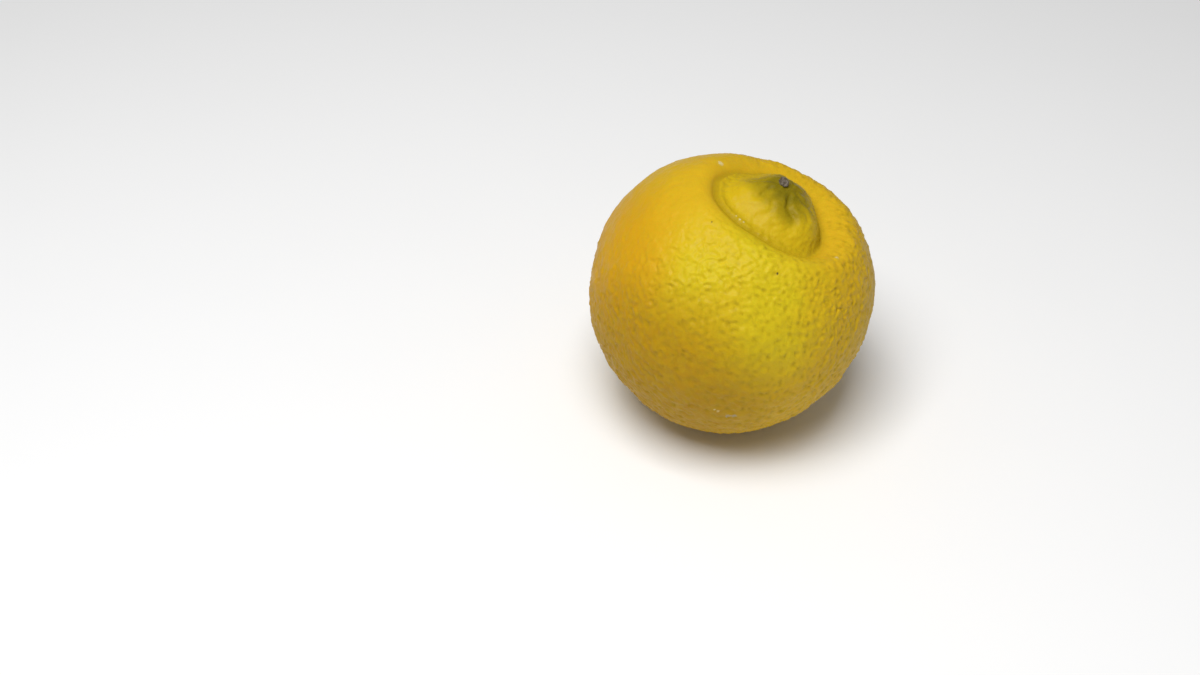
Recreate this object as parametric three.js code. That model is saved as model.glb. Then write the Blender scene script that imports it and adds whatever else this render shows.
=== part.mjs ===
// A whole bergamot orange, as picked, resting on a table. Millimetres, +Z up.
//
// The fruit grew as one piece: a round body whose stylar end carries a broad nipple in a furrowed
// basin, and whose stem end has a shallow ribbed hollow. The calyx button with its clipped stalk
// sits in that hollow, and is the one piece that comes away by hand.
//
// Both pieces are shaped in the fruit's own frame: the origin at the body's centre and +Z along the
// fruit's axis, towards the nipple. Colatitude is counted from the nipple, azimuth from +X. The fruit
// then leans over and rests on the small flat spot where its rind has settled.

import * as THREE from "three";
import { mergeVertices } from "three/addons/utils/BufferGeometryUtils.js";

const { degToRad, lerp, smoothstep } = THREE.MathUtils;

// ---- Driving dimensions ----

const BODY_RADIUS = 35; // half the diameter round the girth
const LEAN = degToRad(20); // of the fruit's axis from upright, towards +X
const RESTING_SPOT_RADIUS = 7;

// The stylar end: radii from the axis, and heights above the body's centre or the basin's floor.
const BASIN_FLOOR = 26.9;
const BASIN_TILT = { slope: 0.08, highest: degToRad(140) };
const BASIN_RIM_RADIUS = 24;
const NIPPLE_RADIUS = 12.6;
const NIPPLE_HEIGHT = 7.5;
const NIPPLE_CORNERS = { count: 3, reach: 1.2, azimuth: degToRad(72) };
const FURROW = { depth: 1.2, width: 1.5, deepest: degToRad(-105) };
const STYLE_PIT = { radius: 1.4, depth: 0.9 };

// The stem end.
const STEM_SHELF = 33.1; // from the body's centre to the level that the hollow sinks into
const STEM_SHELF_RADIUS = 14;
const HOLLOW = { radius: 6.2, depth: 3.2 };
const RIBS = { count: 7, height: 0.35, radius: 8.5, spread: 3.5 };

// The calyx button and its stalk.
const CALYX_RADIUS = 4.4;
const CALYX_THICKNESS = 1.1;
const CALYX_EDGE = 0.4;
const SEPALS = { count: 5, reach: 0.2 }; // the reach is a share of the calyx's radius
const STALK_RADIUS = 1.6;
const STALK_LENGTH = 1.5;
const SKIN_GAP = 0.3;

// How finely the meshes are stepped.
const SKIN_STEPS = 30; // along each edge of the cube that the skin is blown up from
const NIPPLE_SHARE = 0.2; // the part of the skin's rings that the nipple takes
const END_CROWDING = 0.3; // the share by which rings draw together at the basin and at the stem
const CALYX_STEPS_AROUND = 40;

// Broad swellings of the body, and flats where the height is negative: degrees, and millimetres.
const SWELLINGS = [
  { colatitude: 58, azimuth: 11, spread: 30, height: 0.7 },
  { colatitude: 68, azimuth: 150, spread: 28, height: 0.5 },
  { colatitude: 141, azimuth: -76, spread: 28, height: 0.5 },
  { colatitude: 42, azimuth: 108, spread: 26, height: -1.1 },
  { colatitude: 118, azimuth: -37, spread: 28, height: -0.6 },
  { colatitude: 86, azimuth: -12, spread: 22, height: -0.4 },
  { colatitude: 105, azimuth: 80, spread: 34, height: 0.5 },
  { colatitude: 128, azimuth: 190, spread: 30, height: 0.4 },
];

// Lobes of the nipple: azimuth in degrees, the rest in millimetres.
const NIPPLE_LOBES = [
  { radius: 4.5, azimuth: 110, spread: 3.4, height: 0.8 },
  { radius: 8.5, azimuth: 140, spread: 3.8, height: -1.2 },
  { radius: 5.5, azimuth: 20, spread: 3.4, height: 0.3 },
  { radius: 9.5, azimuth: -114, spread: 3.6, height: 0.6 },
  { radius: 9.3, azimuth: -34, spread: 3.6, height: 0.5 },
  { radius: 11.5, azimuth: -161, spread: 3, height: 0.8 },
];

// Creases that run down the nipple from its tip: azimuth and spread in degrees.
const NIPPLE_CREASES = [
  { azimuth: -72, spread: 13, depth: 0.8 },
  { azimuth: 75, spread: 16, depth: 0.8 },
  { azimuth: -150, spread: 12, depth: 0.4 },
];

// ---- The skin ----

// A smooth hill: 1 in the middle, nearly 0 at twice its spread.
function hill(distance, spread) {
  return Math.exp(-((distance / spread) ** 2));
}

function turnBetween(azimuthA, azimuthB) {
  return Math.abs(Math.atan2(Math.sin(azimuthA - azimuthB), Math.cos(azimuthA - azimuthB)));
}

function directionAt(colatitude, azimuth) {
  const outward = Math.sin(colatitude);
  return new THREE.Vector3(
    outward * Math.cos(azimuth),
    outward * Math.sin(azimuth),
    Math.cos(colatitude),
  );
}

function swellingAt(direction) {
  let height = 0;
  for (const swelling of SWELLINGS) {
    const middle = directionAt(degToRad(swelling.colatitude), degToRad(swelling.azimuth));
    height += swelling.height * hill(direction.angleTo(middle), degToRad(swelling.spread));
  }
  return height;
}

// The radius of the furrow round the nipple, which is drawn out into corners.
function nippleEdge(azimuth) {
  const turn = azimuth - NIPPLE_CORNERS.azimuth;
  return NIPPLE_RADIUS + NIPPLE_CORNERS.reach * Math.cos(NIPPLE_CORNERS.count * turn);
}

// The nipple's height above the basin's floor.
function nippleRise(radius, azimuth) {
  const outward = Math.min(1, radius / nippleEdge(azimuth));
  let rise = NIPPLE_HEIGHT * (1 - outward ** 1.7) ** 0.75;
  const x = radius * Math.cos(azimuth);
  const y = radius * Math.sin(azimuth);
  for (const lobe of NIPPLE_LOBES) {
    const toX = x - lobe.radius * Math.cos(degToRad(lobe.azimuth));
    const toY = y - lobe.radius * Math.sin(degToRad(lobe.azimuth));
    rise += lobe.height * hill(Math.hypot(toX, toY), lobe.spread) * (1 - outward ** 8);
  }
  for (const crease of NIPPLE_CREASES) {
    const turn = turnBetween(azimuth, degToRad(crease.azimuth));
    const along = 4 * outward * (1 - outward);
    rise -= crease.depth * hill(turn, degToRad(crease.spread)) * along;
  }
  return rise - STYLE_PIT.depth * hill(radius, STYLE_PIT.radius);
}

function stylarHeight(radius, azimuth, bodyHeight) {
  const edge = nippleEdge(azimuth);
  const outOfBasin = smoothstep(radius, edge, BASIN_RIM_RADIUS);
  const deepShare = 0.55 + 0.45 * Math.cos(azimuth - FURROW.deepest);
  const furrow = FURROW.depth * deepShare * hill(radius - edge, FURROW.width);
  const tilt = BASIN_TILT.slope * radius * Math.cos(azimuth - BASIN_TILT.highest);
  const floor = lerp(BASIN_FLOOR + tilt, bodyHeight, outOfBasin);
  return floor + nippleRise(radius, azimuth) - furrow;
}

function stemHeight(radius, azimuth, bodyHeight) {
  const offShelf = smoothstep(radius, 0, STEM_SHELF_RADIUS);
  const shelf = Math.max(bodyHeight, -STEM_SHELF);
  const ribs = RIBS.height * Math.cos(RIBS.count * azimuth) * hill(radius - RIBS.radius, RIBS.spread);
  const hollow = HOLLOW.depth * hill(radius, HOLLOW.radius);
  return lerp(shelf, bodyHeight, offShelf) + hollow - ribs;
}

// The way runs along the meridian, from 0 at the nipple's tip to 1 at the stem.
function colatitudeAt(way, azimuth) {
  const edge = nippleEdge(azimuth);
  if (way < NIPPLE_SHARE) return Math.asin(((edge / BODY_RADIUS) * way) / NIPPLE_SHARE);
  const past = (way - NIPPLE_SHARE) / (1 - NIPPLE_SHARE);
  const eased = past - (END_CROWDING * Math.sin(2 * Math.PI * past)) / (2 * Math.PI);
  return lerp(Math.asin(edge / BODY_RADIUS), Math.PI, eased);
}

function skinPoint(way, azimuth) {
  const direction = directionAt(colatitudeAt(way, azimuth), azimuth);
  const point = direction.clone().multiplyScalar(BODY_RADIUS);
  const radius = Math.hypot(point.x, point.y);
  const heightAt = point.z > 0 ? stylarHeight : stemHeight;
  point.z = heightAt(radius, azimuth, point.z);
  return point.addScaledVector(direction, swellingAt(direction));
}

// A cube is blown up into the skin so that its square rings come to lie round the fruit's axis.
function blowUp({ x, y, z }) {
  const reach = Math.max(Math.abs(x), Math.abs(y));
  const way = (2 - z * (2 - reach)) / 4;
  const quarter = Math.PI / 4 / Math.max(reach, 1e-6);
  return skinPoint(way, Math.atan2(Math.tan(y * quarter), Math.tan(x * quarter)));
}

// A geometry whose faces share their vertices, with only positions left.
function welded(geometry) {
  geometry.deleteAttribute("normal");
  geometry.deleteAttribute("uv");
  return mergeVertices(geometry, 1e-4);
}

function eachVertex(geometry, move) {
  const positions = geometry.getAttribute("position");
  const vertex = new THREE.Vector3();
  for (let i = 0; i < positions.count; i++) {
    vertex.fromBufferAttribute(positions, i);
    positions.setXYZ(i, ...move(vertex));
  }
  return geometry;
}

function skinGeometry() {
  const cube = new THREE.BoxGeometry(2, 2, 2, SKIN_STEPS, SKIN_STEPS, SKIN_STEPS);
  return eachVertex(welded(cube), blowUp);
}

// ---- The calyx button ----

// Half the button's outline: radii from the axis, and how far out from the skin each point stands.
function calyxProfile() {
  const end = CALYX_THICKNESS + STALK_LENGTH;
  return [
    [0, end],
    [STALK_RADIUS * 0.6, end],
    [STALK_RADIUS * 0.92, end],
    [STALK_RADIUS, end - 0.15],
    [STALK_RADIUS, CALYX_THICKNESS + 0.35],
    [STALK_RADIUS * 1.25, CALYX_THICKNESS + 0.05],
    [lerp(STALK_RADIUS, CALYX_RADIUS, 0.45), CALYX_THICKNESS - 0.15],
    [lerp(STALK_RADIUS, CALYX_RADIUS, 0.75), CALYX_THICKNESS - 0.35],
    [CALYX_RADIUS, CALYX_EDGE],
    [CALYX_RADIUS, 0],
    [CALYX_RADIUS * 0.75, 0],
    [CALYX_RADIUS * 0.5, 0],
    [CALYX_RADIUS * 0.25, 0],
    [0, 0],
  ].map(([radius, stand]) => new THREE.Vector2(radius, -stand));
}

function calyxGeometry() {
  const button = welded(new THREE.LatheGeometry(calyxProfile(), CALYX_STEPS_AROUND));
  return eachVertex(button, ({ x, y, z }) => {
    // LatheGeometry turns about Y; here the fruit's axis is Z.
    const azimuth = Math.atan2(-z, x);
    const tipShare = smoothstep(Math.hypot(x, z), STALK_RADIUS * 1.5, CALYX_RADIUS);
    const spread = 1 + SEPALS.reach * Math.cos(SEPALS.count * azimuth) * tipShare;
    const radius = Math.hypot(x, z) * spread;
    const bodyHeight = -Math.sqrt(BODY_RADIUS ** 2 - radius ** 2);
    const seat = stemHeight(radius, azimuth, bodyHeight) - SKIN_GAP;
    return new THREE.Vector3(radius * Math.cos(azimuth), radius * Math.sin(azimuth), seat + y);
  });
}

// ---- How the fruit rests ----

const leaning = new THREE.Matrix4().makeRotationY(LEAN);
const upright = leaning.clone().invert();

// How high the body's centre stands over the table once the rind has settled.
function restingHeight(skin) {
  let lowest = 0;
  eachVertex(skin, (vertex) => {
    lowest = Math.min(lowest, vertex.clone().applyMatrix4(leaning).z);
    return vertex;
  });
  const settled = BODY_RADIUS - Math.sqrt(BODY_RADIUS ** 2 - RESTING_SPOT_RADIUS ** 2);
  return -lowest - settled;
}

// Presses the skin flat where it would pass through the table. Returns the middle of the flat spot.
function settle(skin, height) {
  const spot = new THREE.Box3();
  eachVertex(skin, (vertex) => {
    const leant = vertex.clone().applyMatrix4(leaning);
    if (leant.z > -height) return vertex;
    leant.z = -height;
    spot.expandByPoint(leant);
    return leant.applyMatrix4(upright);
  });
  return spot.getCenter(new THREE.Vector3());
}

// ---- The object ----

const rind = new THREE.MeshStandardMaterial({ color: 0xd9b424, roughness: 0.45, metalness: 0 });
const woody = new THREE.MeshStandardMaterial({ color: 0x6f6a34, roughness: 0.8, metalness: 0 });

const skin = skinGeometry();
const spotMiddle = settle(skin, restingHeight(skin));

const fruit = new THREE.Mesh(skin, rind);
fruit.name = "fruit";

const calyx = new THREE.Mesh(calyxGeometry(), woody);
calyx.name = "calyx_button";

const bergamot = new THREE.Group();
bergamot.rotation.y = LEAN;
bergamot.position.copy(spotMiddle).negate();
bergamot.add(fruit, calyx);

const part = new THREE.Group();
part.add(bergamot);

export default part;
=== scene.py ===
"""A whole bergamot orange: its pebbled skin with the nipple, the dried style scar and the calyx button.

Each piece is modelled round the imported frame, in metres, and shaded with procedural materials.
"""

import math

import bpy
import numpy as np
from bpy.props import FloatProperty, FloatVectorProperty, IntProperty, PointerProperty
from mathutils import Matrix, Vector


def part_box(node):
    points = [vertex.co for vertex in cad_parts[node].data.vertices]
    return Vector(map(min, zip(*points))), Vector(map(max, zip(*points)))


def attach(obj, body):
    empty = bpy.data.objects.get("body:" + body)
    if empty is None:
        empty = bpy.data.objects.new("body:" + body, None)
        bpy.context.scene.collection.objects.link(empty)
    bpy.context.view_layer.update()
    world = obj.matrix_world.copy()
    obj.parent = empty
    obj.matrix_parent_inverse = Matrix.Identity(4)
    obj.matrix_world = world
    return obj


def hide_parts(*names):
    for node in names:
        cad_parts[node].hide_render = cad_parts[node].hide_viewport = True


bl_info = {
    "name": "Bergamot Orange",
    "version": (1, 0, 0),
    "blender": (4, 5, 0),
    "location": "3D View > Sidebar > Bergamot",
    "description": "Models and shades a whole bergamot orange round its packed frame",
    "category": "Object",
}

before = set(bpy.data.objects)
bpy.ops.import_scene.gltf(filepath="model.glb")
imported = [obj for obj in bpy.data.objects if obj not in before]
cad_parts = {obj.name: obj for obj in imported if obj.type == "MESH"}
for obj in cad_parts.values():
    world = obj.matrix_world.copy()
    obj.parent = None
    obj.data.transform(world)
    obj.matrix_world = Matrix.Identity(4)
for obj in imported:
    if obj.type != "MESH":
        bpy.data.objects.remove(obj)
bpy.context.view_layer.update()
MM = 0.001

# The fruit's own frame: the origin at the body's middle, +Z along the axis towards the nipple, colatitude
# counted from the nipple and azimuth from +X. The axis leans from upright towards +X.
FRUIT_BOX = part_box("fruit")
MIDDLE = (FRUIT_BOX[0] + FRUIT_BOX[1]) / 2
LEAN = math.radians(20)
LEANING = Matrix.Rotation(LEAN, 3, "Y")
BODY_RADIUS = (FRUIT_BOX[1].y - FRUIT_BOX[0].y) / 2

# The nipple's foot, where the furrow runs: a circle round the axis with three soft corners.
NIPPLE_RADIUS = 12.6 * MM
CORNER_COUNT = 3
CORNER_REACH = 1.2 * MM
CORNER_AZIMUTH = math.radians(72)


# ---- Settings that a user would change ----


class BergamotSizes(bpy.types.PropertyGroup):
    """Sizes of the skin's relief and of the small pieces."""

    gland_spacing: FloatProperty(
        name="Gland spacing",
        description="How far apart the oil glands' pits lie",
        default=1.65 * MM,
        precision=5,
        unit="LENGTH",
    )
    gland_depth: FloatProperty(
        name="Gland depth",
        description="How deep an oil gland's pit is",
        default=0.165 * MM,
        precision=5,
        unit="LENGTH",
    )
    pebble_height: FloatProperty(
        name="Pebble height",
        description="How high the skin stands between its glands",
        default=0.44 * MM,
        precision=5,
        unit="LENGTH",
    )
    nipple_grain: FloatProperty(
        name="Nipple grain",
        description="How rough the nipple's skin is",
        default=0.75 * MM,
        precision=5,
        unit="LENGTH",
    )
    unevenness: FloatProperty(
        name="Unevenness",
        description="How far the skin rises and falls over a fingertip's width",
        default=0.8 * MM,
        precision=5,
        unit="LENGTH",
    )
    scar_radius: FloatProperty(
        name="Scar radius",
        description="Half the width of the dried style scar",
        default=1.5 * MM,
        precision=5,
        unit="LENGTH",
    )
    light_height: FloatProperty(
        name="Light height",
        description="How high the soft light hangs over the floor",
        default=0.7,
        unit="LENGTH",
    )
    skin_cuts: IntProperty(
        name="Skin cuts",
        description="Cuts along each edge of the cube that the skin is blown up from",
        default=7,
    )


def colour(name, description, value):
    """A colour that the user can change."""
    return FloatVectorProperty(
        name=name, description=description, default=value, subtype="COLOR", size=3, min=0, max=1
    )


class BergamotColours(bpy.types.PropertyGroup):
    """Colours of the rind, its marks and its painted shade, the style scar with its painted sheen, the calyx
    and the stage, in linear light.
    """

    ripe: colour("Ripe yellow", "The rind's colour over most of the fruit", (0.61, 0.372, 0.011))
    lemon: colour("Lemon", "The rind where it is still a little green", (0.60, 0.462, 0.011))
    blush: colour("Blush", "The rind where it ripened first", (0.60, 0.312, 0.007))
    # Painted shade: a darker yellow low down at the front, standing in for the shade under the fruit.
    underside_shade: colour("Deep yellow", "The rind low down at the front", (0.40, 0.212, 0.0045))
    nipple: colour("Nipple", "The rind over the nipple", (0.55, 0.385, 0.007))
    nipple_tip: colour("Nipple tip", "The rind at the nipple's tip", (0.19, 0.145, 0.003))
    # Painted shade: a darker yellow at the bottom of the glands' pits; the creases and the furrow take it
    # darker still.
    pit: colour("Gland pit", "The bottom of an oil gland's pit", (0.33, 0.220, 0.004))
    dry_scar: colour("Dry scar", "Dead skin and the style's scar", (0.16, 0.11, 0.05))
    # Painted sheen: a paler grey clouded over the style's scar, standing in for the light it catches.
    scar_sheen: colour("Scar bloom", "The dusty bloom on the style's scar", (0.22, 0.18, 0.14))
    pale_scar: colour("Pale scar", "Rubbed skin that has healed", (0.62, 0.52, 0.24))
    grey_scar: colour("Grey scar", "Rubbed skin that has dried", (0.40, 0.34, 0.20))
    speck: colour("Speck", "A dark speck on the rind", (0.05, 0.035, 0.015))
    calyx: colour("Calyx", "The dry calyx", (0.16, 0.15, 0.045))
    stalk: colour("Stalk", "The clipped stalk's wood", (0.36, 0.27, 0.14))
    floor: colour("Floor", "The studio's floor", (0.90, 0.90, 0.90))


# ---- Places ----


def direction_at(colatitude, azimuth):
    """A direction out of the fruit's middle, in the scene's frame, from degrees in the fruit's own."""
    c, a = math.radians(colatitude), math.radians(azimuth)
    own = Vector((math.sin(c) * math.cos(a), math.sin(c) * math.sin(a), math.cos(c)))
    return LEANING @ own


def skin_at(skin, colatitude, azimuth):
    """The skin's point in that direction."""
    far = MIDDLE + direction_at(colatitude, azimuth) * BODY_RADIUS * 2
    hit, place, _, _ = skin.ray_cast(far, (MIDDLE - far).normalized())
    if not hit:
        raise RuntimeError("the skin has a hole")
    return place


def vertex_places(mesh):
    places = np.empty(len(mesh.vertices) * 3)
    mesh.vertices.foreach_get("co", places)
    return places.reshape(-1, 3)


def own_places(mesh):
    """The vertices in the fruit's own frame."""
    return (vertex_places(mesh) - np.array(MIDDLE)) @ np.array(LEANING)


def around_axis(own):
    """The places' distance from the fruit's axis, and their azimuth."""
    return np.hypot(own[:, 0], own[:, 1]), np.arctan2(own[:, 1], own[:, 0])


def hollowness(mesh, passes):
    """How far each vertex lies below the smoothed surface round it."""
    places = vertex_places(mesh)
    normals = np.empty(len(places) * 3)
    mesh.vertices.foreach_get("normal", normals)
    edges = np.empty(len(mesh.edges) * 2, dtype=int)
    mesh.edges.foreach_get("vertices", edges)
    first, second = edges.reshape(-1, 2).T
    ends, others = np.concatenate((first, second)), np.concatenate((second, first))
    neighbours = np.bincount(ends)
    smooth = places
    for _ in range(passes):
        sums = [np.bincount(ends, weights=smooth[others, axis]) for axis in range(3)]
        smooth = (np.array(sums) / neighbours).T
    return ((smooth - places) * normals.reshape(-1, 3)).sum(axis=1)


def eased(values, low, high):
    """0 up to low, 1 from high, and smooth between."""
    t = np.clip((values - low) / (high - low), 0, 1)
    return t * t * (3 - 2 * t)


# ---- Modelling steps that several pieces share ----


def deselect_all():
    bpy.ops.object.select_all(action="DESELECT")


def make_active(piece):
    deselect_all()
    piece.select_set(True)
    bpy.context.view_layer.objects.active = piece


def apply_modifier(piece, kind, **settings):
    make_active(piece)
    modifier = piece.modifiers.new(kind.lower(), kind)
    for name, value in settings.items():
        setattr(modifier, name, value)
    bpy.ops.object.modifier_apply(modifier=modifier.name)


def subdivide_smoothly(piece, levels):
    apply_modifier(piece, "SUBSURF", levels=levels, render_levels=levels)


def place_in_mesh(piece):
    make_active(piece)
    bpy.ops.object.transform_apply(location=True, rotation=True, scale=True)


def merged_copy(node, name):
    """A copy of a CAD node's mesh with its triangles joined up into quads."""
    piece = bpy.data.objects.new(name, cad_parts[node].data.copy())
    bpy.context.collection.objects.link(piece)
    piece.data.materials.clear()
    make_active(piece)
    bpy.ops.object.mode_set(mode="EDIT")
    bpy.ops.mesh.select_all(action="SELECT")
    bpy.ops.mesh.remove_doubles(threshold=0.001 * MM)
    bpy.ops.mesh.tris_convert_to_quads()
    bpy.ops.object.mode_set(mode="OBJECT")
    return piece


def relief_texture(name, kind, size, **settings):
    texture = bpy.data.textures.new(name, kind)
    texture.noise_scale = size
    for setting, value in settings.items():
        setattr(texture, setting, value)
    return texture


def raise_relief(piece, texture, height, level=0.5, group=""):
    """Moves the skin along its normals by the texture, or by the group's weights alone without one.

    The level is the texture's value that stays where it is.
    """
    apply_modifier(
        piece,
        "DISPLACE",
        texture=texture,
        texture_coords="LOCAL",
        strength=height,
        mid_level=level,
        vertex_group=group,
    )


def weigh(piece, name, weights):
    group = piece.vertex_groups.new(name=name)
    for index, weight in enumerate(weights.tolist()):
        group.add([index], weight, "REPLACE")
    return name


def keep_attribute(piece, name, values):
    """Stores one number per vertex for the material."""
    piece.data.attributes.new(name, "FLOAT", "POINT").data.foreach_set("value", values)


def finish_piece(piece, name, material, nodes=()):
    make_active(piece)
    bpy.ops.object.shade_smooth()
    piece.name = piece.data.name = name
    piece.data.materials.append(material)
    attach(piece, "root")
    if nodes:
        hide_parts(*nodes)


# ---- Shader steps ----


def add_node(tree, kind, inputs=None, **settings):
    """A node with its settings, and its inputs either linked to a socket or set to a value."""
    made = tree.nodes.new(kind)
    for name, value in settings.items():
        setattr(made, name, value)
    for name, value in (inputs or {}).items():
        if isinstance(value, bpy.types.NodeSocket):
            tree.links.new(value, made.inputs[name])
        else:
            made.inputs[name].default_value = value
    return made


def mix_colours(tree, mask, first, second):
    """The first colour where the mask is 0, and the second where it is 1."""
    mix = add_node(tree, "ShaderNodeMix", {0: mask, 6: first, 7: second}, data_type="RGBA")
    return mix.outputs[2]


def ease_mask(tree, value, low, high):
    """0 at low, 1 at high, and smooth between; low may be the greater of the two."""
    inputs = {"Value": value, "From Min": low, "From Max": high}
    ranged = add_node(tree, "ShaderNodeMapRange", inputs, interpolation_type="SMOOTHSTEP")
    return ranged.outputs["Result"]


def do_math(tree, operation, first, second):
    return add_node(tree, "ShaderNodeMath", {0: first, 1: second}, operation=operation).outputs[0]


def scaled(tree, mask, share):
    return do_math(tree, "MULTIPLY", mask, share)


def vector_math(tree, operation, *values):
    inputs = dict(enumerate(values))
    return add_node(tree, "ShaderNodeVectorMath", inputs, operation=operation).outputs


def attribute(tree, name):
    return add_node(tree, "ShaderNodeAttribute", attribute_name=name).outputs["Fac"]


def noise_mask(tree, places, scale, detail, low, high):
    inputs = {"Vector": places, "Scale": scale, "Detail": detail, "Roughness": 0.55}
    clouds = add_node(tree, "ShaderNodeTexNoise", inputs)
    return ease_mask(tree, clouds.outputs["Fac"], low, high)


def fruit_places(tree):
    """Object coordinates in the fruit's own frame, in millimetres."""
    found = add_node(tree, "ShaderNodeTexCoord").outputs["Object"]
    inputs = {"Vector": found, "Location": MIDDLE, "Rotation": (0, LEAN, 0), "Scale": (MM, MM, MM)}
    return add_node(tree, "ShaderNodeMapping", inputs, vector_type="TEXTURE").outputs["Vector"]


def near_direction(tree, outward, colatitude, azimuth, inner, outer):
    """A mask round one direction out of the fruit's middle: 1 within inner degrees, 0 beyond outer."""
    own = LEANING.transposed() @ direction_at(colatitude, azimuth)
    dot = vector_math(tree, "DOT_PRODUCT", outward, own)["Value"]
    low, high = math.cos(math.radians(outer)), math.cos(math.radians(inner))
    return ease_mask(tree, dot, low, high)


def new_group(name, sockets):
    """A shader node group with its sockets: name, socket type, in or out, and default."""
    group = bpy.data.node_groups.new(name, "ShaderNodeTree")
    for label, kind, way, default in sockets:
        socket = group.interface.new_socket(label, in_out=way, socket_type=kind)
        if default is not None:
            socket.default_value = default
    return group


# The mottle's clouds: how many times finer the second ones are, and the share that the first ones have.
FINER = 4.3
BROAD_SHARE = 0.6


def mottle_group():
    """Clouds of a second colour over a first one, and the finer grain of both."""
    name = "Mottle"
    if name in bpy.data.node_groups:
        return bpy.data.node_groups[name]
    group = new_group(
        name,
        [
            ("Places", "NodeSocketVector", "INPUT", None),
            ("Colour", "NodeSocketColor", "INPUT", (1, 1, 1, 1)),
            ("Second Colour", "NodeSocketColor", "INPUT", (0, 0, 0, 1)),
            ("Scale", "NodeSocketFloat", "INPUT", 1.0),
            ("Amount", "NodeSocketFloat", "INPUT", 0.5),
            ("Colour", "NodeSocketColor", "OUTPUT", None),
        ],
    )
    given = group.nodes.new("NodeGroupInput").outputs
    broad = noise_mask(group, given["Places"], given["Scale"], 3.0, 0.35, 0.7)
    finer_scale = scaled(group, given["Scale"], FINER)
    fine = noise_mask(group, given["Places"], finer_scale, 2.0, 0.4, 0.75)
    both = do_math(group, "ADD", scaled(group, broad, BROAD_SHARE), scaled(group, fine, 1 - BROAD_SHARE))
    share = scaled(group, both, given["Amount"])
    mixed = mix_colours(group, share, given["Colour"], given["Second Colour"])
    taken = group.nodes.new("NodeGroupOutput")
    group.links.new(mixed, taken.inputs["Colour"])
    return group


def grain_group():
    """The normal of a fine grain, too small for the mesh."""
    name = "Grain"
    if name in bpy.data.node_groups:
        return bpy.data.node_groups[name]
    group = new_group(
        name,
        [
            ("Places", "NodeSocketVector", "INPUT", None),
            ("Scale", "NodeSocketFloat", "INPUT", 1.0),
            ("Strength", "NodeSocketFloat", "INPUT", 0.3),
            ("Height", "NodeSocketFloat", "INPUT", 0.0001),
            ("Normal", "NodeSocketVector", "OUTPUT", None),
        ],
    )
    given = group.nodes.new("NodeGroupInput").outputs
    inputs = {"Vector": given["Places"], "Scale": given["Scale"], "Detail": 3.0}
    clouds = add_node(group, "ShaderNodeTexNoise", inputs).outputs["Fac"]
    inputs = {"Height": clouds, "Strength": given["Strength"], "Distance": given["Height"]}
    bump = add_node(group, "ShaderNodeBump", inputs).outputs["Normal"]
    taken = group.nodes.new("NodeGroupOutput")
    group.links.new(bump, taken.inputs["Normal"])
    return group


def mottled(tree, places, first, second, scale, amount):
    inputs = {"Places": places, "Colour": first, "Second Colour": second, "Scale": scale, "Amount": amount}
    return add_node(tree, "ShaderNodeGroup", inputs, node_tree=mottle_group()).outputs["Colour"]


def grained(tree, places, scale, strength, height):
    inputs = {"Places": places, "Scale": scale, "Strength": strength, "Height": height}
    return add_node(tree, "ShaderNodeGroup", inputs, node_tree=grain_group()).outputs["Normal"]


def new_material(name):
    """A material's node tree and its Principled shader."""
    material = bpy.data.materials.new(name)
    material.use_nodes = True
    tree = material.node_tree
    return material, tree, tree.nodes["Principled BSDF"]


def solid(rgb, darker=1.0):
    """The colour with full alpha, darkened by a factor."""
    return (rgb[0] * darker, rgb[1] * darker, rgb[2] * darker, 1.0)


# ---- Materials ----

# Patches of the rind: the middle's colatitude and azimuth, then how far from it the patch starts to fade and
# how far it reaches, all in degrees.
LEMON_PATCH = (56, -99, 5, 48)
BLUSH_PATCH = (84, -164, 8, 44)
# The underside patch is painted shade, not a colour of the rind.
UNDERSIDE_SHADE_PATCH = (112, -114, 18, 60)
GROOVE_PATCH = (8, -75, 1, 11)
TIP_SIDE_PATCH = (7, 170, 2, 13)

# How much of its colour, or of painted shade, each patch or hollow shows at its strongest.
UNDERSIDE_SHADE_SHARE = 0.9
NIPPLE_SHARE = 0.85
GROOVE_SHARE = 0.75
TIP_SIDE_SHARE = 0.7
CREASE_SHADE_SHARE = 0.25
FURROW_SHADE_SHARE = 0.62
PIT_SHADE_SHARE = 0.5

# The green round the nipple's tip, in the fruit's own frame and in millimetres.
NIPPLE_TIP = (0, 0, 34)
GREEN_WITHIN = 4.0
GREEN_UP_TO = 13.0
GREEN_WANDER = 4.0

# Small marks on the rind: colatitude and azimuth in degrees, radius in millimetres, and colour.
MARKS = (
    (37.8, -137.4, 0.32, "speck"),
    (41.1, -86.6, 0.38, "speck"),
    (12.0, 0.0, 0.40, "speck"),
    (106.5, -79.0, 0.75, "grey_scar"),
    (107.2, -81.5, 0.85, "grey_scar"),
    (106.0, -86.5, 0.50, "pale_scar"),
    (105.6, -88.0, 0.40, "pale_scar"),
    (30.9, 152.0, 1.0, "pale_scar"),
    (34.3, -34.2, 0.6, "pale_scar"),
    (26.2, -137.0, 0.30, "pale_scar"),
    (25.7, -132.6, 0.38, "pale_scar"),
    (25.4, -128.0, 0.30, "pale_scar"),
)


def paint_patches(tree, places, outward, colours):
    """The body's yellow, with its lemon front, its orange blush and painted shade over its underside."""
    clouds = noise_mask(tree, places, scale=0.07, detail=2.0, low=0.3, high=0.7)
    front = near_direction(tree, outward, *LEMON_PATCH)
    lemon = scaled(tree, front, do_math(tree, "ADD", scaled(tree, clouds, 0.5), 0.6))
    paint = mix_colours(tree, lemon, solid(colours.ripe), solid(colours.lemon))
    blush = near_direction(tree, outward, *BLUSH_PATCH)
    paint = mix_colours(tree, blush, paint, solid(colours.blush))
    # Painted shade over the underside.
    underside_shade_mask = scaled(tree, near_direction(tree, outward, *UNDERSIDE_SHADE_PATCH), UNDERSIDE_SHADE_SHARE)
    paint = mix_colours(tree, underside_shade_mask, paint, solid(colours.underside_shade))
    return mottled(tree, places, paint, solid(colours.lemon, 0.82), scale=0.5, amount=0.3)


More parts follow.
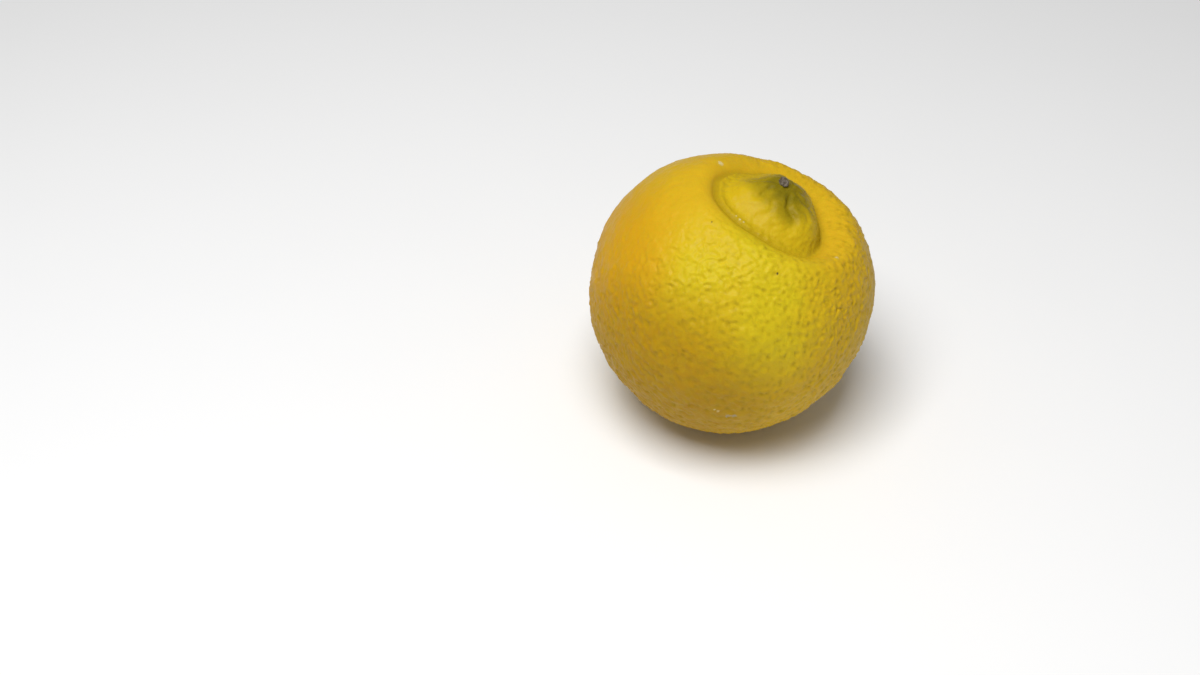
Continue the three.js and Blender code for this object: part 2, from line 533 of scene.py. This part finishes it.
def paint_nipple(tree, places, outward, colours, paint):
    """The nipple's yellow-green, and the olive that runs down from its tip."""
    on_nipple = scaled(tree, attribute(tree, "on_nipple"), NIPPLE_SHARE)
    paint = mix_colours(tree, on_nipple, paint, solid(colours.nipple))
    to_tip = vector_math(tree, "DISTANCE", places, NIPPLE_TIP)["Value"]
    wander = noise_mask(tree, places, scale=0.25, detail=3.0, low=0.2, high=0.8)
    to_tip = do_math(tree, "ADD", to_tip, scaled(tree, wander, GREEN_WANDER))
    green = ease_mask(tree, to_tip, GREEN_UP_TO, GREEN_WITHIN)
    groove = scaled(tree, near_direction(tree, outward, *GROOVE_PATCH), GROOVE_SHARE)
    green = do_math(tree, "MAXIMUM", green, groove)
    tip_side = scaled(tree, near_direction(tree, outward, *TIP_SIDE_PATCH), TIP_SIDE_SHARE)
    green = do_math(tree, "MAXIMUM", green, tip_side)
    return mix_colours(tree, green, paint, solid(colours.nipple_tip))


def paint_hollow_shade(tree, colours, paint):
    """Painted shade on the rind in the furrow, in creases and at the bottom of the oil glands' pits."""
    hollow = scaled(tree, attribute(tree, "hollowness"), CREASE_SHADE_SHARE)
    furrow = scaled(tree, attribute(tree, "furrow_depth"), FURROW_SHADE_SHARE)
    # Painted shade in the creases and along the furrow round the nipple's foot.
    paint = mix_colours(tree, do_math(tree, "MAXIMUM", hollow, furrow), paint, solid(colours.pit, 0.8))
    # Painted shade at the bottom of the oil glands' pits.
    pit = scaled(tree, attribute(tree, "gland_pit"), PIT_SHADE_SHARE)
    return mix_colours(tree, pit, paint, solid(colours.pit))


def paint_mark(tree, skin, places, mark, colours, paint):
    """One small ragged mark."""
    colatitude, azimuth, radius, name = mark
    own = (skin_at(skin, colatitude, azimuth) - MIDDLE) @ LEANING / MM
    away = vector_math(tree, "DISTANCE", places, own)["Value"]
    ragged = noise_mask(tree, places, scale=2.2, detail=2.0, low=0.2, high=0.8)
    away = do_math(tree, "ADD", away, scaled(tree, ragged, radius * 0.8))
    shown = ease_mask(tree, away, radius * 1.5, radius * 0.6)
    return mix_colours(tree, shown, paint, solid(getattr(colours, name)))


def rind_material(skin, colours):
    """Waxy citrus rind: yellow with a lemon front and an orange blush, and an olive-green nipple, with
    painted shade low down and in its hollows.
    """
    material, tree, shader = new_material("Rind")
    places = fruit_places(tree)
    outward = vector_math(tree, "NORMALIZE", places)["Vector"]
    paint = paint_patches(tree, places, outward, colours)
    paint = paint_nipple(tree, places, outward, colours, paint)
    paint = paint_hollow_shade(tree, colours, paint)
    for mark in MARKS:
        paint = paint_mark(tree, skin, places, mark, colours, paint)

    dull = noise_mask(tree, places, scale=0.4, detail=3.0, low=0.25, high=0.75)
    inputs = {"Value": dull, "To Min": 0.34, "To Max": 0.5}
    roughness = add_node(tree, "ShaderNodeMapRange", inputs).outputs["Result"]
    normal = grained(tree, places, scale=2.4, strength=0.7, height=0.12 * MM)
    tree.links.new(paint, shader.inputs["Base Color"])
    tree.links.new(roughness, shader.inputs["Roughness"])
    tree.links.new(normal, shader.inputs["Normal"])
    shader.inputs["Subsurface Weight"].default_value = 0.12
    shader.inputs["Subsurface Radius"].default_value = (1.0, 0.55, 0.1)
    shader.inputs["Subsurface Scale"].default_value = 1.6 * MM
    shader.inputs["IOR"].default_value = 1.45
    shader.inputs["Specular IOR Level"].default_value = 0.12
    return material


def scar_material(colours):
    """Dead brown tissue clouded with a paler grey, a painted sheen."""
    material, tree, shader = new_material("Style Scar")
    places = fruit_places(tree)
    # The paler clouds are painted sheen over the scar's dark brown.
    dark, sheen = solid(colours.dry_scar, 0.4), solid(colours.scar_sheen)
    paint = mottled(tree, places, dark, sheen, scale=1.1, amount=1.0)
    normal = grained(tree, places, scale=5.0, strength=0.7, height=0.12 * MM)
    tree.links.new(paint, shader.inputs["Base Color"])
    tree.links.new(normal, shader.inputs["Normal"])
    shader.inputs["Roughness"].default_value = 0.75
    return material


def calyx_material(colours):
    """A dry green-brown calyx that turns to pale wood on the stalk."""
    material, tree, shader = new_material("Calyx")
    places = fruit_places(tree)
    flat = vector_math(tree, "MULTIPLY", places, (1, 1, 0))["Vector"]
    from_axis = vector_math(tree, "LENGTH", flat)["Value"]
    ragged = noise_mask(tree, places, scale=1.6, detail=2.0, low=0.2, high=0.8)
    from_axis = do_math(tree, "ADD", from_axis, scaled(tree, ragged, 0.5))
    # From the calyx in to the stalk's core: the distance from the axis, in millimetres, at which each colour
    # starts, and that at which it is full.
    paint = solid(colours.calyx)
    for start, full, inner in (
        (2.2, 1.7, solid(colours.dry_scar)),
        (1.7, 1.3, solid(colours.stalk)),
        (0.8, 0.5, solid(colours.stalk, 0.5)),
    ):
        paint = mix_colours(tree, ease_mask(tree, from_axis, start, full), paint, inner)
    dry_edge = scaled(tree, ease_mask(tree, from_axis, 3.2, 5.0), 0.8)
    paint = mix_colours(tree, dry_edge, paint, solid(colours.dry_scar))
    paint = mottled(tree, places, paint, solid(colours.dry_scar, 0.5), scale=1.3, amount=0.8)
    normal = grained(tree, places, scale=3.4, strength=0.8, height=0.15 * MM)
    tree.links.new(paint, shader.inputs["Base Color"])
    tree.links.new(normal, shader.inputs["Normal"])
    shader.inputs["Roughness"].default_value = 0.8
    return material


def floor_material(colours):
    """A matt, barely clouded studio floor."""
    material, tree, shader = new_material("Floor")
    places = add_node(tree, "ShaderNodeTexCoord").outputs["Object"]
    clouded = solid(colours.floor, 0.985)
    paint = mottled(tree, places, solid(colours.floor), clouded, scale=6.0, amount=0.5)
    tree.links.new(paint, shader.inputs["Base Color"])
    shader.inputs["Roughness"].default_value = 0.9
    return material


# ---- The skin ----


def blown_up_cube(cuts):
    """A sphere of even quads round the fruit's middle, from a cube."""
    deselect_all()
    bpy.ops.mesh.primitive_cube_add(size=2 * BODY_RADIUS, location=MIDDLE, rotation=(0, LEAN, 0))
    skin = bpy.context.object
    bpy.ops.object.mode_set(mode="EDIT")
    bpy.ops.mesh.subdivide(number_cuts=cuts)
    bpy.ops.object.mode_set(mode="OBJECT")
    subdivide_smoothly(skin, 4)
    apply_modifier(skin, "CAST", cast_type="SPHERE", factor=1.0, size=BODY_RADIUS)
    place_in_mesh(skin)
    return skin


def wrap_onto_body(skin):
    """Draws the sphere onto a smoothed copy of the CAD fruit."""
    body = merged_copy("fruit", "body_form")
    subdivide_smoothly(body, 2)
    apply_modifier(
        skin,
        "SHRINKWRAP",
        target=body,
        wrap_method="PROJECT",
        use_negative_direction=True,
        use_positive_direction=True,
    )
    bpy.data.objects.remove(body)


# Creases, which only get painted shade on the rind, and no relief.
CREASE_PASSES = 12  # smoothing passes over the mesh that iron out a crease
CREASE_DEPTH = 0.22 * MM  # how far below the ironed skin a full crease lies
CREASE_START = 0.15  # the share of that depth at which a crease starts to show

# The furrow round the nipple's foot, and the foot's bulge over it.
FURROW_WIDTH = 0.8 * MM
FURROW_DEPTH = 0.42 * MM
FURROW_DEEPEST = math.radians(-145)
FURROW_SWING = 0.45  # how far the share of the depth swings round the nipple, either side of its mean
FURROW_WAVER = 0.14 * MM
SPREAD = 2.5 * MM  # how far the nipple's foot spreads out over the basin's floor
SPREAD_FURTHEST = math.radians(-150)
IRONED_WIDTH = 2.8 * MM  # the width of the strip over which the CAD furrow is ironed out
IRONING_PASSES = 110
OVERHANG_WIDTH = 5.0 * MM
OVERHANG = 0.9 * MM  # how far the nipple's foot bulges out over the furrow

# The fine folds that run out from the nipple's tip: azimuth in degrees and share of the full depth.
NIPPLE_FOLDS = (
    (-150, 0.7),
    (-118, 0.4),
    (-72, 1.0),
    (-45, 0.5),
    (-15, 0.6),
    (25, 0.5),
    (104, 0.6),
    (165, 0.8),
)
FOLD_WIDTH = 0.7 * MM
FOLD_DEPTH = 0.8 * MM
FOLD_WAVER = 0.12  # in radians

# Where the skin is most pebbled and where it is smoothest: colatitude and azimuth in degrees.
PEBBLED_FRONT = (58, -128)
SMOOTH_SIDE = (50, 172)
PEBBLED_ALL_OVER = 0.66  # the share of the pebbles' height that the skin has away from that front
NIPPLE_MARGIN = 5 * MM  # how far beyond the nipple's foot the body's relief is at its full height

# The textures' grain.
BROAD_SWELL = 11 * MM
SMALL_SWELL = 4.5 * MM
SMALL_SWELL_SHARE = 0.4
PEBBLE_SIZE = 1.7 * MM
NIPPLE_GRAIN_SIZE = 0.8 * MM


def spread_share(azimuth):
    """How much of the full spread the nipple's foot has at that azimuth."""
    return 0.5 + 0.5 * np.cos(azimuth - SPREAD_FURTHEST)


def beyond_furrow(radius, azimuth):
    """How far a place lies outside the CAD furrow, from its distance from the axis and its azimuth."""
    return radius - NIPPLE_RADIUS - CORNER_REACH * np.cos(CORNER_COUNT * (azimuth - CORNER_AZIMUTH))


def beyond_nipple(radius, azimuth):
    """How far a place lies outside the nipple's foot."""
    waves = np.sin(5 * azimuth + 1) + 0.6 * np.sin(11 * azimuth) + 0.5 * np.sin(17 * azimuth)
    return beyond_furrow(radius, azimuth) - SPREAD * spread_share(azimuth) - FURROW_WAVER * waves


def towards(outward, side):
    """The cosine of each vertex's angle from a side of the fruit."""
    own = LEANING.transposed() @ direction_at(*side)
    return outward @ np.array(own)


def fold_weights(radius, azimuth):
    """How deep each vertex lies in the nipple's fine folds."""
    folds = np.zeros(len(radius))
    for fold_azimuth, share in NIPPLE_FOLDS:
        bend = FOLD_WAVER * np.sin(radius / MM)
        turn = np.angle(np.exp(1j * (azimuth - math.radians(fold_azimuth) - bend)))
        across = turn * radius / FOLD_WIDTH
        folds = np.maximum(folds, share * np.exp(-(across**2)) * (np.abs(turn) < 1.5))
    return folds * eased(radius, 1.0 * MM, 3.0 * MM) * (1 - eased(radius, 7 * MM, 11 * MM))


def skin_weights(skin):
    """How strongly each kind of relief shows at each vertex."""
    own = own_places(skin.data)
    outward = own / np.linalg.norm(own, axis=1, keepdims=True)
    radius, azimuth = around_axis(own)
    on_stylar_end = own[:, 2] > 0
    outside = np.where(on_stylar_end, beyond_nipple(radius, azimuth), BODY_RADIUS)
    off_nipple = eased(outside, 0, NIPPLE_MARGIN)
    off_spot = eased(vertex_places(skin.data)[:, 2], 0.1 * MM, 1.5 * MM)

    furrow_share = 1 - FURROW_SWING + FURROW_SWING * np.cos(azimuth - FURROW_DEEPEST)
    furrow = np.exp(-((outside / FURROW_WIDTH) ** 2)) * furrow_share
    bulge = eased(outside, -OVERHANG_WIDTH, -0.7 * MM) * (1 - eased(outside, -0.5 * MM, 0.1 * MM))

    facing = towards(outward, PEBBLED_FRONT)
    facing_smooth = towards(outward, SMOOTH_SIDE)
    smoothness = eased(facing_smooth, 0.6, 0.98)
    few_pits = eased(facing_smooth, 0.35, 0.85)
    pebbled = PEBBLED_ALL_OVER + (1 - PEBBLED_ALL_OVER) * eased(facing, 0.7, 0.97)
    pebbled = pebbled * (1 - 0.7 * smoothness) * off_nipple
    glands = (1.1 - 0.15 * eased(facing, 0.2, 0.9)) * (1 - 0.85 * few_pits) * (0.3 + 0.7 * off_nipple)
    # Painted shade in the creases: not relief, only kept for the rind's colour.
    hollow = eased(hollowness(skin.data, CREASE_PASSES) / CREASE_DEPTH, CREASE_START, 1.0)
    return {
        "pebbled": pebbled * off_spot,
        "glands": glands * off_spot,
        "nipple": 1 - eased(outside, -1 * MM, 1 * MM),
        "uneven": off_spot * (0.35 + 0.65 * off_nipple),
        "hollow": hollow * off_spot,
        "furrow": furrow,
        "overhang": bulge * furrow_share,
        "folds": fold_weights(radius, azimuth) * on_stylar_end,
    }


def iron_furrow(skin):
    """Smooths the CAD furrow away where the nipple's foot spreads over it."""
    own = own_places(skin.data)
    radius, azimuth = around_axis(own)
    near = np.exp(-((beyond_furrow(radius, azimuth) / IRONED_WIDTH) ** 2)) * (own[:, 2] > 0)
    group = weigh(skin, "ironed", near * spread_share(azimuth))
    apply_modifier(skin, "SMOOTH", factor=0.5, iterations=IRONING_PASSES, vertex_group=group)


def gland_texture(spacing):
    """1 on the skin between glands, and down to 0 at each gland's middle."""
    texture = relief_texture("gland_pits", "VORONOI", spacing, noise_intensity=1.0)
    texture.use_color_ramp = True
    ramp = texture.color_ramp
    ramp.interpolation = "EASE"
    ramp.elements[0].position = 0.08
    ramp.elements[0].color = (0, 0, 0, 1)
    ramp.elements[1].position = 0.5
    ramp.elements[1].color = (1, 1, 1, 1)
    return texture


def raise_skin_relief(skin, sizes):
    """Raises the relief from the broadest to the finest, and stores what the rind's material needs."""
    iron_furrow(skin)
    weights = skin_weights(skin)
    # The crease and furrow weights give the rind its painted shade.
    keep_attribute(skin, "hollowness", weights.pop("hollow"))
    keep_attribute(skin, "furrow_depth", weights["furrow"])
    keep_attribute(skin, "on_nipple", weights["nipple"])
    groups = {name: weigh(skin, name, share) for name, share in weights.items()}
    broad = relief_texture("broad_swell", "CLOUDS", BROAD_SWELL, noise_depth=1)
    raise_relief(skin, broad, sizes.unevenness, group=groups["uneven"])
    small = relief_texture("small_swell", "CLOUDS", SMALL_SWELL, noise_depth=1)
    raise_relief(skin, small, sizes.unevenness * SMALL_SWELL_SHARE, group=groups["uneven"])
    raise_relief(skin, None, OVERHANG, level=0.0, group=groups["overhang"])
    raise_relief(skin, None, -FURROW_DEPTH, level=0.0, group=groups["furrow"])
    raise_relief(skin, None, -FOLD_DEPTH, level=0.0, group=groups["folds"])
    worms = relief_texture("pebbles", "DISTORTED_NOISE", PEBBLE_SIZE, distortion=1.1)
    raise_relief(skin, worms, sizes.pebble_height, group=groups["pebbled"])
    grain = relief_texture("nipple_grain", "CLOUDS", NIPPLE_GRAIN_SIZE, noise_depth=2)
    raise_relief(skin, grain, sizes.nipple_grain, group=groups["nipple"])
    before = vertex_places(skin.data)
    pits = gland_texture(sizes.gland_spacing)
    raise_relief(skin, pits, sizes.gland_depth, level=1.0, group=groups["glands"])
    # How far each vertex sank into a pit, kept for the pits' painted shade.
    sunk = np.linalg.norm(vertex_places(skin.data) - before, axis=1) / sizes.gland_depth
    keep_attribute(skin, "gland_pit", np.clip(sunk, 0, 1))
    skin.vertex_groups.clear()


class BERGAMOT_OT_add_skin(bpy.types.Operator):
    """Models the skin: the body, the nipple in its furrow, the stem hollow and the pebbled relief."""

    bl_idname = "bergamot.add_skin"
    bl_label = "Add Skin"

    def execute(self, context):
        sizes = context.scene.bergamot_sizes
        skin = blown_up_cube(sizes.skin_cuts)
        wrap_onto_body(skin)
        raise_skin_relief(skin, sizes)
        material = rind_material(skin, context.scene.bergamot_colours)
        finish_piece(skin, "fruit_skin", material, ["fruit"])
        return {"FINISHED"}


# ---- The dried style scar ----

SCAR_DIRECTION = (2.6, 140)  # colatitude and azimuth in degrees
SCAR_SHAPE = (0.75, 1.1, 0.42)  # along the lean, across it and in height, as shares of the radius
SCAR_LUMP_SIZE = 1.1 * MM
SCAR_ROUGHNESS_SIZE = 0.4 * MM


class BERGAMOT_OT_add_style_scar(bpy.types.Operator):
    """Models the dried scar where the flower's style fell from the nipple's tip."""

    bl_idname = "bergamot.add_style_scar"
    bl_label = "Add Style Scar"

    def execute(self, context):
        radius = context.scene.bergamot_sizes.scar_radius
        place = skin_at(bpy.data.objects["fruit_skin"], *SCAR_DIRECTION)
        deselect_all()
        bpy.ops.mesh.primitive_ico_sphere_add(
            subdivisions=5, radius=radius, location=place, rotation=(0, LEAN, 0), scale=SCAR_SHAPE
        )
        scar = bpy.context.object
        place_in_mesh(scar)
        lumps = relief_texture("scar_lumps", "CLOUDS", SCAR_LUMP_SIZE, noise_depth=0)
        raise_relief(scar, lumps, radius * 0.9)
        rough = relief_texture("scar_roughness", "CLOUDS", SCAR_ROUGHNESS_SIZE, noise_depth=1)
        raise_relief(scar, rough, radius * 0.3)
        finish_piece(scar, "style_scar", scar_material(context.scene.bergamot_colours))
        return {"FINISHED"}


# ---- The calyx button ----

WRINKLE_HEIGHT = 0.3 * MM
WRINKLE_SIZE = 1.0 * MM


class BERGAMOT_OT_add_calyx(bpy.types.Operator):
    """Models the calyx button with its clipped stalk, in the hollow at the stem end."""

    bl_idname = "bergamot.add_calyx"
    bl_label = "Add Calyx Button"

    def execute(self, context):
        button = merged_copy("calyx_button", "calyx_form")
        subdivide_smoothly(button, 2)
        wrinkles = relief_texture("calyx_wrinkles", "DISTORTED_NOISE", WRINKLE_SIZE, distortion=1.5)
        raise_relief(button, wrinkles, WRINKLE_HEIGHT)
        material = calyx_material(context.scene.bergamot_colours)
        finish_piece(button, "calyx", material, ["calyx_button"])
        return {"FINISHED"}


# ---- The stage ----

CAMERA_DISTANCE = 0.416
CAMERA_ELEVATION = math.radians(38)
CAMERA_PITCH = math.radians(50.315)  # from straight down
CAMERA_YAW = math.radians(5.705)  # to the left of +Y
CAMERA_LENS_MM = 50
FLOOR_SIZE = 6.0
LIGHT_PLACE = (-0.10, -0.24)  # beside and in front of the fruit
LIGHT_SIZE = 0.42
LIGHT_POWER = 5.6  # watts
SURROUNDING_LIGHT = 0.22


def add_camera():
    back = Vector((0, -math.cos(CAMERA_ELEVATION), math.sin(CAMERA_ELEVATION)))
    bpy.ops.object.camera_add(
        location=MIDDLE + back * CAMERA_DISTANCE, rotation=(CAMERA_PITCH, 0, CAMERA_YAW)
    )
    camera = bpy.context.object
    camera.name = "camera"
    camera.data.lens = CAMERA_LENS_MM
    camera.data.clip_start = 0.01
    bpy.context.scene.camera = camera


def add_soft_light(name, place, size, power):
    bpy.ops.object.light_add(type="AREA", location=place)
    light = bpy.context.object
    light.name = name
    light.data.size = size
    light.data.energy = power
    light.rotation_euler = (MIDDLE - light.location).to_track_quat("-Z", "Y").to_euler()


def add_floor(colours):
    deselect_all()
    bpy.ops.mesh.primitive_plane_add(size=FLOOR_SIZE)
    floor = bpy.context.object
    floor.name = "floor"
    floor.data.materials.append(floor_material(colours))


class BERGAMOT_OT_add_stage(bpy.types.Operator):
    """Sets up the pale floor, the soft studio light and the camera."""

    bl_idname = "bergamot.add_stage"
    bl_label = "Add Stage"

    def execute(self, context):
        scene = context.scene
        deselect_all()
        add_camera()
        light_place = Vector((*LIGHT_PLACE, scene.bergamot_sizes.light_height))
        add_soft_light("key_light", light_place, LIGHT_SIZE, LIGHT_POWER)
        add_floor(scene.bergamot_colours)
        world = bpy.data.worlds.new("studio")
        world.use_nodes = True
        background = world.node_tree.nodes["Background"]
        background.inputs["Color"].default_value = (1, 1, 1, 1)
        background.inputs["Strength"].default_value = SURROUNDING_LIGHT
        scene.world = world
        scene.view_settings.view_transform = "Standard"
        return {"FINISHED"}


# ---- The sidebar panel ----

MAKERS = ("bergamot.add_stage", "bergamot.add_skin", "bergamot.add_style_scar", "bergamot.add_calyx")


class BERGAMOT_PT_pieces(bpy.types.Panel):
    """Lists the bergamot's sizes, its colours and the operators that make its pieces."""

    bl_label = "Bergamot"
    bl_idname = "BERGAMOT_PT_pieces"
    bl_space_type = "VIEW_3D"
    bl_region_type = "UI"
    bl_category = "Bergamot"

    def draw(self, context):
        for settings in (context.scene.bergamot_sizes, context.scene.bergamot_colours):
            for name in settings.__annotations__:
                self.layout.prop(settings, name)
        for maker in MAKERS:
            self.layout.operator(maker)


CLASSES = (
    BergamotSizes,
    BergamotColours,
    BERGAMOT_OT_add_stage,
    BERGAMOT_OT_add_skin,
    BERGAMOT_OT_add_style_scar,
    BERGAMOT_OT_add_calyx,
    BERGAMOT_PT_pieces,
)


def register():
    for each in CLASSES:
        bpy.utils.register_class(each)
    bpy.types.Scene.bergamot_sizes = PointerProperty(type=BergamotSizes)
    bpy.types.Scene.bergamot_colours = PointerProperty(type=BergamotColours)


def unregister():
    del bpy.types.Scene.bergamot_colours
    del bpy.types.Scene.bergamot_sizes
    for each in reversed(CLASSES):
        bpy.utils.unregister_class(each)


def main():
    register()
    bpy.ops.bergamot.add_stage()
    bpy.ops.bergamot.add_skin()
    bpy.ops.bergamot.add_style_scar()
    bpy.ops.bergamot.add_calyx()


if __name__ == "__main__":
    main()
